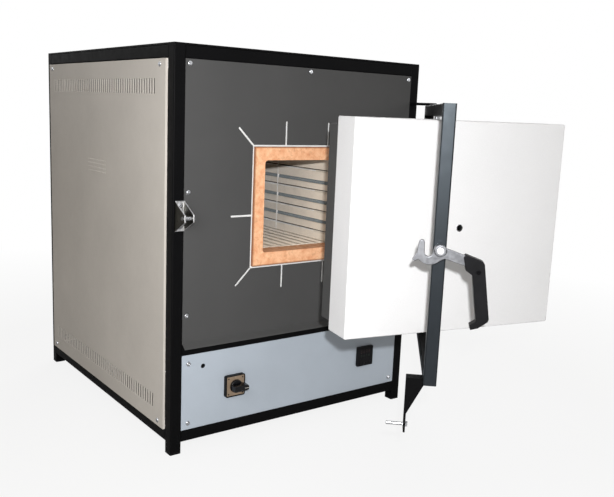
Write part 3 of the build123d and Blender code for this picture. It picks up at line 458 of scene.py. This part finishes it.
def pressed_brick(name, light, dark):
    """Refractory plates: warm at the mouth; painted shade makes them greyer and a little darker
    towards the back.
    """
    finish, shader = start_finish(name, 0.92, specular=0.2)
    nodes, links = finish.node_tree.nodes, finish.node_tree.links
    patch = pattern(finish, 34, 5, 0.6)
    apart = nodes.new("ShaderNodeSeparateXYZ")
    links.new(nodes["Where"].outputs["Object"], apart.inputs["Vector"])
    # Painted shade: towards the back the plates turn to the greyer, darker tone.
    deep = spread(finish, apart.outputs["Y"], 0.0, 1.0, 0.05, 0.38)
    tone = mix(finish, deep, ramp(finish, patch, [(0.3, shade(light, 0.9)), (0.7, light)]),
               ramp(finish, patch, [(0.3, shade(dark, 0.88)), (0.7, dark)]))
    sand = ramp(finish, pattern(finish, 800, 3), [(0.3, (0.92, 0.91, 0.9)), (0.65, (1, 1, 1))])
    links.new(mix(finish, 1.0, tone, sand, "MULTIPLY"), shader.inputs["Base Color"])
    coarse = relief(finish, pattern(finish, 200, 5), 0.35, 0.001)
    links.new(relief(finish, pattern(finish, 900, 3), 0.35, 0.0005, coarse), shader.inputs["Normal"])
    return finish


def fibre_felt(name, colour):
    """Ceramic wool: long soft strands over a lumpy bed."""
    finish, shader = start_finish(name, 0.95, specular=0.15)
    links = finish.node_tree.links
    strand = pattern(finish, 160, 6, 0.7, (1, 1, 7), 1.5)
    tone = ramp(finish, strand, [(0.3, shade(colour, 0.86)), (0.62, colour)])
    links.new(tone, shader.inputs["Base Color"])
    lumps = relief(finish, pattern(finish, 60, 4), 0.35, 0.002)
    links.new(relief(finish, strand, 0.5, 0.0008, lumps), shader.inputs["Normal"])
    return finish


NODE_FINISHES = {
    "frame_black": ("frame_posts", "frame_rails_bottom", "frame_rails_middle", "frame_rails_top",
                    "top_cover", "arm_top_tube", "arm_bottom_tube", "arm_hinge_tube",
                    "hinge_brackets", "bottom_plate"),
    "arm_black": ("arm_front_bar",),
    "side_grey": ("side_panel_left", "side_panel_right", "rear_panel"),
    "graphite": ("front_panel", "door_inner_casing"),
    "control_grey": ("control_panel",),
    "door_white": ("door_casing",),
    "bright_steel": ("casing_screws", "hinge_pins", "door_pivot_pins", "striker_pin", "latch_pin",
                     "latch_bracket", "panel_tabs", "sight_tube", "thermocouple"),
    # Painted highlight: a near-white steel.
    "steel_painted_highlight": ("lever_stud",),
    "cast_alloy": ("lever_casting",),
    "bronze": ("arm_hinge_bushes", "door_pivot_bushes"),
    "black_plastic": ("foot_caps", "lever_grip", "switch_bezel", "controller_case",
                      "door_switch_body", "cable_gland", "power_relay", "switch_body"),
    "gloss_black": ("switch_knob", "lever_grip_screw"),
    "key_black": ("controller_window",),
    "label_brown": ("switch_plate",),
    "ceramic_orange": ("muffle_front_frame",),
    "brick_tan": ("muffle_wall_left", "muffle_wall_right", "muffle_back", "hearth_plate"),
    # Painted shade: the chamber's roof is near black.
    "brick_roof_shade": ("muffle_roof",),
    "fibre_white": ("front_fibre_sheet", "door_plug", "door_filling"),
    # Painted shade: near-black insulation wool, the shade seen through the vent slots.
    "wool_painted_shade": ("insulation_sides", "insulation_roof", "insulation_floor", "insulation_back"),
    "element_dark": ("heating_elements",),
    "terminal_grey": ("terminal_block", "door_switch_plunger"),
}


class FURNACE_OT_finishes(bpy.types.Operator):
    """Make every paint and material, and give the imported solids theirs"""
    bl_idname = "furnace.finishes"
    bl_label = "Paints and materials"

    def execute(self, context):
        p = paints()
        powder_coat("frame_black", tuple(p.frame_black), 0.42, 0.52, peel=0.05, peel_scale=520,
                    specular=0.04, drift=0.12)
        powder_coat("arm_black", tuple(p.arm_black), 0.4, 0.46, peel=0.05, peel_scale=520,
                    specular=0.34, drift=0.1, tint=(0.78, 0.9, 1))
        powder_coat("side_grey", tuple(p.side_grey), 0.42, 0.55, peel=0.05)
        powder_coat("graphite", tuple(p.graphite), 0.5, 0.62, peel=0.08, peel_scale=700,
                    specular=0.1)
        powder_coat("control_grey", tuple(p.control_grey), 0.38, 0.5, peel=0.05, peel_scale=500)
        powder_coat("door_white", tuple(p.door_white), 0.36, 0.46, peel=0.03, peel_scale=380,
                    drift=0.015)
        bare_metal("bright_steel", (0.55, 0.56, 0.58), 0.2, 0.34)
        # Painted shade: a near-black zinc for the latch bracket's ears.
        bare_metal("zinc_ear_shade", (0.1, 0.095, 0.08), 0.26, 0.4)
        bare_metal("cast_alloy", (0.23, 0.235, 0.25), 0.3, 0.42, scratch=0.04, cast=0.12)
        # Painted highlight: a near-white steel for the lever stud and the latch bracket's base.
        bare_metal("steel_painted_highlight", (0.88, 0.88, 0.89), 0.36, 0.46)
        bare_metal("bronze", (0.62, 0.42, 0.2), 0.3, 0.45)
        bare_metal("element_dark", (0.3, 0.34, 0.36), 0.6, 0.75, scratch=0.1, cast=0.2, metal=0.3)
        moulded("black_plastic", (0.009, 0.009, 0.01), 0.34, 0.46, 0.12, specular=0.07)
        moulded("gloss_black", (0.004, 0.004, 0.005), 0.1, 0.15, 0.01, specular=0.35)
        moulded("label_brown", tuple(p.plate_brown), 0.3, 0.4, 0.03)
        moulded("terminal_grey", (0.45, 0.45, 0.43), 0.4, 0.5, 0.06)
        moulded("mark_white", (0.5, 0.48, 0.44), 0.4, 0.5, 0.02)
        fired_clay("ceramic_orange", tuple(p.ceramic_light), tuple(p.ceramic_dark),
                   tuple(p.ceramic_burn))
        pressed_brick("brick_tan", tuple(p.brick_light), tuple(p.brick_dark))
        # Painted shade: near-black roof plates, as if the roof lay in shadow.
        pressed_brick("brick_roof_shade", (0.16, 0.14, 0.12), (0.1, 0.095, 0.09))
        fibre_felt("fibre_white", (0.8, 0.8, 0.79))
        # Painted shade: near-black insulation wool, the shade seen through the vent slots.
        fibre_felt("wool_painted_shade", (0.05, 0.048, 0.045))
        # Painted shade for the seams between the chamber plates.
        moulded("seam_shade_dark", (0.03, 0.027, 0.024), 0.8, 0.9, 0.1, specular=0.1)
        # Painted highlight for the ledges under the seams; also the pale fibre joint upright.
        moulded("ledge_highlight_and_fibre", (0.93, 0.91, 0.88), 0.8, 0.9, 0.1, specular=0.1)
        moulded("key_black", (0.008, 0.008, 0.009), 0.3, 0.4, 0.02, specular=0.08)
        moulded("digit_dark", (0.035, 0.012, 0.011), 0.3, 0.36, 0.01)
        moulded("digit_dim", (0.012, 0.03, 0.014), 0.3, 0.36, 0.01)
        for finish, nodes in NODE_FINISHES.items():
            for node in nodes:
                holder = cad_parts[node]
                for holder_slot in holder.material_slots:
                    holder_slot.material = finish_of(finish)
                if not holder.material_slots:
                    holder.data.materials.append(finish_of(finish))
        return {"FINISHED"}


# ---------------------------------------------------------------- pieces
class FURNACE_OT_sheet_metal(bpy.types.Operator):
    """Round the edges of the folded panels and brackets that the light catches"""
    bl_idname = "furnace.sheet_metal"
    bl_label = "Sheet metal edges"

    def execute(self, context):
        edge = sizes().sheet_edge
        for node, body, finish, slot, width in (
                ("front_panel", "furnace", "graphite", "graphite", edge),
                ("control_panel", "furnace", "control_grey", "control_grey", edge),
                ("hinge_brackets", "furnace", "frame_black", "frame_black", edge * 1.6),
                # The latch bracket takes the near-white steel of painted highlight.
                ("latch_bracket", "furnace", "steel_painted_highlight", "bright_steel", edge * 1.4),
                ("striker_bracket", "door_arm", "frame_black", "frame_black", edge),
                ("door_inner_casing", "door", "graphite", "graphite", edge)):
            piece = eased(node, node + "_edged", width)
            fit(piece, body, finish, slot, node)
        self.darken_ears(bpy.data.objects["latch_bracket_edged"])
        return {"FINISHED"}

    def darken_ears(self, bracket):
        """Painted shade on the latch bracket's two ears, in a dark zinc; its folded base has the
        near-white steel of painted highlight.
        """
        bracket.data.materials.append(finish_of("zinc_ear_shade"))
        for face in bracket.data.polygons:
            face.material_index = int(abs(face.normal.x) > 0.7)


class FURNACE_OT_side_vents(bpy.types.Operator):
    """Open the vent slots of the side trays to their full width"""
    bl_idname = "furnace.side_vents"
    bl_label = "Side vents"
    widening = 0.0011                       # of a slot, to each side
    nearest_side, farthest_side = 0.0005, 0.0029        # where a slot's sides stand, from its middle
    half_row = 0.018

    def execute(self, context):
        for node in ("side_panel_left", "side_panel_right"):
            piece = welded(node, node + "_vented")
            for way in (-1, 1):
                mesh = edit(piece, "VERT")
                for vert in mesh.verts:
                    out = way * self.past_slot(vert.co)
                    vert.select_set(self.nearest_side < out < self.farthest_side)
                bmesh.update_edit_mesh(piece.data)
                bpy.ops.transform.translate(value=(0, way * self.widening, 0))
                done()
            fit(piece, "furnace", "side_grey", "side_grey", node)
        return {"FINISHED"}

    def past_slot(self, point):
        """How far a point lies behind the middle of the nearest slot; 0 outside the rows."""
        if min(abs(point.z - z) for z in vent_rows) > self.half_row:
            return 0
        nearest = min(last_vent, max(0, round((point.y - vent_first) / vent_pitch)))
        return point.y - vent_first - nearest * vent_pitch


class FURNACE_OT_muffle(bpy.types.Operator):
    """Soften the ceramic mouth and the ribbed hearth, and wind the element coils"""
    bl_idname = "furnace.muffle"
    bl_label = "Muffle and elements"

    def execute(self, context):
        mouth = eased("muffle_front_frame", "muffle_mouth", sizes().clay_edge, 4, 40)
        fit(mouth, "furnace", "ceramic_orange", "ceramic_orange", "muffle_front_frame")
        hearth = eased("hearth_plate", "ribbed_hearth", 0.0012, 2, 40)
        fit(hearth, "furnace", "brick_tan", "brick_tan", "hearth_plate")
        self.plate_joints()
        self.wind_coils()
        return {"FINISHED"}

    def plate_joints(self):
        """Painted shade in the seams between the chamber's side plates, painted highlight on the
        ledges under them, and a pale fibre joint upright.
        """
        low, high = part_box("hearth_plate")
        sunk, seam_deep, ledge_deep, strip_deep = 0.0004, 0.0045, 0.0042, 0.003
        seam_low, seam_high = 0.0002, 0.0019
        ledge_drop, ledge_start, ledge_taper = 0.0046, 0.07, 0.3
        strip_wide, strip_low = 0.0028, 0.026
        seams, ledges = [], []
        for side in (-1, 1):
            wall = feet_middle.x + side * side_plate
            for z in seam_heights:
                # Painted shade: a dark strip sunk in each seam gap.
                seam_x = sorted((wall + side * sunk, wall + side * seam_deep))
                seams.append(start_block("seam", (seam_x[0], low.y, z + seam_low),
                                         (seam_x[1], high.y, z + seam_high)))
                # Painted highlight: a pale sloped strip under each seam.
                ledge_x = sorted((wall - side * sunk, wall + side * ledge_deep))
                ledge = start_block("ledge", (ledge_x[0], low.y + ledge_start, z - ledge_drop),
                                    (ledge_x[1], high.y, z))
                pick_faces(ledge, lambda middle, normal: normal.y < -0.9)
                bpy.ops.transform.resize(value=(1, 1, ledge_taper))
                done()
                ledges.append(ledge)
            strip_x = sorted((wall - side * sunk, wall + side * strip_deep))
            strip_y = low.y + plate_break
            ledges.append(start_block("upright", (strip_x[0], strip_y, low.z + strip_low),
                                      (strip_x[1], strip_y + strip_wide, plate_top)))
        # Painted shade in the seams; painted highlight on the ledges, with the pale fibre joint
        # upright.
        fit(join("plate_seams", seams), "furnace", "seam_shade_dark", "brick_tan")
        fit(join("lit_ledges_and_fibre_joint", ledges), "furnace", "ledge_highlight_and_fibre", "brick_tan")

    def wind_coils(self):
        """One coil is wound with the screw modifier, and copied to the other grooves."""
        low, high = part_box("heating_elements")
        pitch, wire, reach = sizes().coil_pitch, sizes().wire_radius, sizes().coil_radius
        turns = int((high.y - low.y) / pitch)
        steps_per_turn = 12
        clear()
        bpy.ops.mesh.primitive_circle_add(vertices=6, radius=wire, location=(reach, 0, 0),
                                          rotation=(math.pi / 2, 0, 0))
        coil = name_new("coil")
        winding = coil.modifiers.new("winding", "SCREW")
        winding.axis = "Z"
        winding.angle = math.tau * turns
        winding.screw_offset = high.y - low.y - 2 * wire
        winding.steps = winding.render_steps = steps_per_turn * turns
        winding.use_merge_vertices = False
        bpy.ops.object.modifier_apply(modifier=winding.name)
        edit(coil, "EDGE")
        bpy.ops.mesh.select_all(action="SELECT")
        bpy.ops.mesh.normals_make_consistent(inside=False)
        bpy.ops.mesh.select_all(action="DESELECT")
        bpy.ops.mesh.select_non_manifold()
        bpy.ops.mesh.edge_face_add()
        done()
        bpy.ops.object.shade_smooth()
        middles = [(feet_middle.x + side * coil_out, z - coil_sag)
                   for side in (-1, 1) for z in groove_heights]
        coils = []
        for x, z in middles:
            copied = coil.copy()
            copied.data = coil.data.copy()
            bpy.context.scene.collection.objects.link(copied)
            lay(copied, axes((x, low.y + wire, z), (1, 0, 0), (0, 0, -1), (0, 1, 0)))
            coils.append(copied)
        bpy.data.objects.remove(coil)
        wound = join("element_coils", coils)
        fit(wound, "furnace", "element_dark", "element_dark", "heating_elements")


class FURNACE_OT_cam_switch(bpy.types.Operator):
    """Model the pointer knob, and the face plate's screws and figures"""
    bl_idname = "furnace.cam_switch"
    bl_label = "Cam switch"

    def execute(self, context):
        self.knob()
        self.plate_marks()
        return {"FINISHED"}

    def knob(self):
        hub_radius, hub_high = 0.015, 0.006
        grip_half, grip_tail, grip_tip = 0.0075, -0.016, 0.0215
        grip_low, grip_top, taper_from = 0.004, 0.0228, 0.012
        line_from, line_to, line_half = 0.0095, 0.0186, 0.0006
        hub = start_round("knob_hub", (0, 0, 0), (0, 0, hub_high), hub_radius, 64)
        pick_faces(hub, lambda middle, normal: normal.z > 0.9)
        bpy.ops.transform.resize(value=(0.93, 0.93, 1))
        done()
        round_edges(hub, 0.0011, 3)
        grip = start_block("knob_grip", (grip_tail, -grip_half, grip_low),
                           (grip_tip, grip_half, grip_top))
        edit(grip)
        bpy.ops.mesh.select_all(action="SELECT")
        bpy.ops.mesh.bisect(plane_co=(taper_from, 0, 0), plane_no=(1, 0, 0))
        done()
        pick_faces(grip, lambda middle, normal: normal.x > 0.9)
        bpy.ops.transform.resize(value=(1, 0.7, 1))
        pick_faces(grip, lambda middle, normal: normal.x < -0.9)
        bpy.ops.transform.resize(value=(1, 0.86, 1))
        pick_faces(grip, lambda middle, normal: normal.z > 0.9)
        bpy.ops.transform.resize(value=(0.95, 0.86, 1))
        done()
        round_edges(grip, 0.0016, 4, 25)
        line = start_block("knob_line", (line_from, -line_half, grip_top - 0.00002),
                           (line_to, line_half, grip_top + 0.0003))
        round_edges(line, 0.00012, 1)
        place = on_panel(*knob_place, panel_face - knob_seat)
        knob = join("pointer_knob", [hub, grip])
        lay(knob, place)
        fit(knob, "cam_knob", "gloss_black", "gloss_black", "switch_knob")
        lay(line, place)
        fit(line, "cam_knob", "mark_white", "gloss_black")

    def plate_marks(self):
        place = on_panel(*knob_place, panel_face - plate_face)
        out, figure_out = 0.0175, 0.0185    # screws and figures, from the knob's axis
        heads = []
        for x, y in ((-out, out), (out, out), (-out, -out), (out, -out)):
            head = start_round("plate_screw", (x, y, 0), (x, y, 0.0009), 0.0016, 20)
            pick_faces(head, lambda middle, normal: normal.z > 0.9)
            bpy.ops.mesh.inset(thickness=0.0007)
            bpy.ops.transform.translate(value=(0, 0, -0.0004))
            done()
            round_edges(head, 0.0002, 2)
            heads.append(head)
        heads = join("plate_screws", heads)
        lay(heads, place)
        fit(heads, "furnace", "black_plastic", "bright_steel")
        figures = []
        for text, x, y in (("0", figure_out, 0.0), ("1", 0.0, figure_out)):
            figures.append(self.figure(text, x, y))
        figures = join("plate_figures", figures)
        lay(figures, place)
        fit(figures, "furnace", "mark_white", "label_brown")

    def figure(self, text, x, y):
        clear()
        bpy.ops.object.text_add(location=(0, 0, 0))
        words = bpy.context.object
        words.data.body = text
        words.data.size = 0.005
        words.data.align_x = "CENTER"
        words.data.align_y = "CENTER"
        words.data.extrude = 0.00008
        bpy.ops.object.convert(target="MESH")
        words = bpy.context.object
        words.location = (x, y, 0.00012)
        bpy.ops.object.transform_apply(location=True, rotation=True, scale=True)
        return words


# Seven segments of a digit: side, level in half heights, and whether it lies flat.
SEGMENTS = ((0, 2, 1), (0, 1, 1), (0, 0, 1), (-1, 1.5, 0), (1, 1.5, 0), (-1, 0.5, 0), (1, 0.5, 0))


class FURNACE_OT_instrument(bpy.types.Operator):
    """Model the controller's digits and keys"""
    bl_idname = "furnace.instrument"
    bl_label = "Temperature controller"

    def execute(self, context):
        digit_pitch, key_pitch, key_half = 0.0082, 0.0098, 0.0036
        place = on_panel(*instrument_place, panel_face - window_face + 0.0004)
        for finish, y, scale in (("digit_dark", 0.0118, 1.0), ("digit_dim", 0.001, 0.72)):
            bars = []
            for i in range(4):
                x = (i - 1.5) * digit_pitch
                bars += self.digit(x, y, sizes().digit_height * scale)
            row = join("row_" + finish, bars)
            lay(row, place)
            fit(row, "furnace", finish, "gloss_black")
        keys = []
        for i in range(4):
            x = (i - 1.5) * key_pitch
            key = start_block("key", (x - key_half, -0.0195, -0.001), (x + key_half, -0.0145, 0.0011))
            round_edges(key, 0.0007, 3)
            keys.append(key)
        keys = join("controller_keys", keys)
        lay(keys, on_panel(*instrument_place, panel_face - window_face))
        fit(keys, "furnace", "key_black", "terminal_grey")
        return {"FINISHED"}

    def digit(self, x, y, height):
        """The seven unlit segments of one digit."""
        bars = []
        half = height / 2
        for across, level, flat in SEGMENTS:
            middle_x, middle_y = x + across * half * 0.52, y + (level - 1) * half
            long, thin = half * 0.8, height * 0.11
            size_x, size_y = (long * 0.98, thin) if flat else (thin, long)
            bar = start_block("bar", (middle_x - size_x / 2, middle_y - size_y / 2, 0),
                              (middle_x + size_x / 2, middle_y + size_y / 2, 0.0002))
            pick_faces(bar, lambda middle, normal: abs(normal.x if flat else normal.y) > 0.9)
            bpy.ops.transform.resize(value=(1, 0.5, 1) if flat else (0.5, 1, 1))
            done()
            bars.append(bar)
        return bars


class FURNACE_OT_lever(bpy.types.Operator):
    """Round the lever's casting and its moulded grip"""
    bl_idname = "furnace.lever"
    bl_label = "Latch lever"

    def execute(self, context):
        casting = eased("lever_casting", "lever_body", sizes().casting_edge, 3, 40)
        fit(casting, "lever", "cast_alloy", "cast_alloy", "lever_casting")
        grip = eased("lever_grip", "lever_handle", sizes().grip_edge * 0.4, 3, 30)
        fit(grip, "lever", "black_plastic", "black_plastic", "lever_grip")
        return {"FINISHED"}


# ---------------------------------------------------------------- stage
class FURNACE_OT_stage(bpy.types.Operator):
    """Set the floor, the lamps, the world and the camera"""
    bl_idname = "furnace.stage"
    bl_label = "Stage"

    def execute(self, context):
        self.camera(context.scene)
        self.floor()
        self.lamp("key_lamp", (-0.69, -1.41, 0.822), (0.3, -0.1, 0.45), 0.032, 26)
        self.lamp("left_lamp", (-0.45, -0.5, 0.7), (-0.02, 0.0, 0.48), 0.3, 2.0)
        self.lamp("right_lamp", (1.5, -1.3, 1.2), (0.6, -0.3, 0.5), 0.8, 3.5)
        self.lamp("top_lamp", (0.3, 0.35, 3.0), (0.3, 0.35, 0.8), 1.6, 10)
        self.lamp("back_lamp", (1.9, 2.4, 1.5), (0.4, 0.5, 0.45), 1.4, 40)
        self.world(context.scene)
        return {"FINISHED"}

    def camera(self, scene):
        yaw, pitch, roll = math.radians(37.04), math.radians(-10.24), 0.04197
        ahead = Vector((math.sin(yaw) * math.cos(pitch), math.cos(yaw) * math.cos(pitch),
                        math.sin(pitch)))
        level = Vector((math.cos(yaw), -math.sin(yaw), 0))
        over = level.cross(ahead)
        right = level * math.cos(roll) + over * math.sin(roll)
        top = over * math.cos(roll) - level * math.sin(roll)
        lens = bpy.data.cameras.new("Camera")
        lens.lens = 45.3
        lens.sensor_width = 36
        lens.sensor_fit = "HORIZONTAL"
        lens.clip_start, lens.clip_end = 0.01, 100
        eye = bpy.data.objects.new("Camera", lens)
        scene.collection.objects.link(eye)
        eye.matrix_world = axes((-0.7076, -1.3776, 0.7248), right, top, -ahead)
        scene.camera = eye

    def lamp(self, name, place, aim, size, power):
        lamp = bpy.data.lights.new(name, "AREA")
        lamp.size = size
        lamp.energy = power
        holder = bpy.data.objects.new(name, lamp)
        bpy.context.scene.collection.objects.link(holder)
        holder.location = place
        holder.rotation_euler = (Vector(aim) - Vector(place)).to_track_quat("-Z", "Y").to_euler()

    def floor(self):
        clear()
        bpy.ops.mesh.primitive_plane_add(size=60, location=(0, 0, 0))
        floor = name_new("floor")
        finish, shader = start_finish("floor_pale", 0.9, specular=0.0)
        nodes, links = finish.node_tree.nodes, finish.node_tree.links
        speck = pattern(finish, 3, 3)
        links.new(ramp(finish, speck, [(0.3, (0.58, 0.58, 0.58)), (0.7, (0.61, 0.61, 0.61))]),
                  shader.inputs["Base Color"])
        reach = nodes.new("ShaderNodeVectorMath")
        reach.operation = "DISTANCE"
        reach.inputs[1].default_value = feet_middle - Vector((0, 0.15, 0))
        links.new(nodes["Where"].outputs["Object"], reach.inputs[0])
        far = spread(finish, reach.outputs["Value"], 0.86, 1.0, start=0.9, end=2.2)
        seen = nodes.new("ShaderNodeLightPath")
        part = nodes.new("ShaderNodeMath")
        part.operation = "MULTIPLY"
        links.new(far, part.inputs[0])
        links.new(seen.outputs["Is Camera Ray"], part.inputs[1])
        glow = nodes.new("ShaderNodeEmission")
        glow.inputs["Strength"].default_value = 1.0
        blend = nodes.new("ShaderNodeMixShader")
        links.new(part.outputs["Value"], blend.inputs["Fac"])
        links.new(shader.outputs["BSDF"], blend.inputs[1])
        links.new(glow.outputs["Emission"], blend.inputs[2])
        links.new(blend.outputs["Shader"], nodes["Material Output"].inputs["Surface"])
        floor.data.materials.append(finish)

    def either(self, nodes, links, first, second):
        node = nodes.new("ShaderNodeMath")
        node.operation = "MAXIMUM"
        links.new(first, node.inputs[0])
        links.new(second, node.inputs[1])
        return node.outputs["Value"]

    def world(self, scene):
        world = bpy.data.worlds.new("studio")
        scene.world = world
        world.use_nodes = True
        nodes, links = world.node_tree.nodes, world.node_tree.links
        air = nodes["Background"]
        air.inputs["Color"].default_value = (1, 0.88, 0.72, 1)
        air.inputs["Strength"].default_value = 0.12
        white = nodes.new("ShaderNodeBackground")
        white.inputs["Color"].default_value = (1, 1, 1, 1)
        white.inputs["Strength"].default_value = 1.0
        seen = nodes.new("ShaderNodeLightPath")
        blend = nodes.new("ShaderNodeMixShader")
        shown = self.either(nodes, links, self.either(
            nodes, links, seen.outputs["Is Camera Ray"], seen.outputs["Is Glossy Ray"]),
            seen.outputs["Is Transmission Ray"])
        links.new(shown, blend.inputs["Fac"])
        links.new(air.outputs["Background"], blend.inputs[1])
        links.new(white.outputs["Background"], blend.inputs[2])
        links.new(blend.outputs["Shader"], nodes["World Output"].inputs["Surface"])
        scene.view_settings.view_transform = "Standard"


STEPS = (FURNACE_OT_finishes, FURNACE_OT_stage, FURNACE_OT_sheet_metal, FURNACE_OT_side_vents,
         FURNACE_OT_muffle, FURNACE_OT_cam_switch, FURNACE_OT_instrument, FURNACE_OT_lever)


class FURNACE_PT_panel(bpy.types.Panel):
    """Sizes, paints and steps of the furnace"""
    bl_idname = "FURNACE_PT_panel"
    bl_label = "Chamber furnace"
    bl_space_type = "VIEW_3D"
    bl_region_type = "UI"
    bl_category = "Furnace"

    def draw(self, context):
        for group in (context.scene.furnace_sizes, context.scene.furnace_paints):
            box = self.layout.box()
            for name in group.__annotations__:
                box.prop(group, name)
        for step in STEPS:
            self.layout.operator(step.bl_idname)


CLASSES = (FurnacePaints, FurnaceSizes, *STEPS, FURNACE_PT_panel)


def register():
    for item in CLASSES:
        bpy.utils.register_class(item)
    bpy.types.Scene.furnace_paints = bpy.props.PointerProperty(type=FurnacePaints)
    bpy.types.Scene.furnace_sizes = bpy.props.PointerProperty(type=FurnaceSizes)


def unregister():
    del bpy.types.Scene.furnace_sizes
    del bpy.types.Scene.furnace_paints
    for item in reversed(CLASSES):
        bpy.utils.unregister_class(item)


def main():
    register()
    bpy.ops.furnace.finishes()
    bpy.ops.furnace.stage()
    bpy.ops.furnace.sheet_metal()
    bpy.ops.furnace.side_vents()
    bpy.ops.furnace.muffle()
    bpy.ops.furnace.cam_switch()
    bpy.ops.furnace.instrument()
    bpy.ops.furnace.lever()


if __name__ == "__main__":
    main()
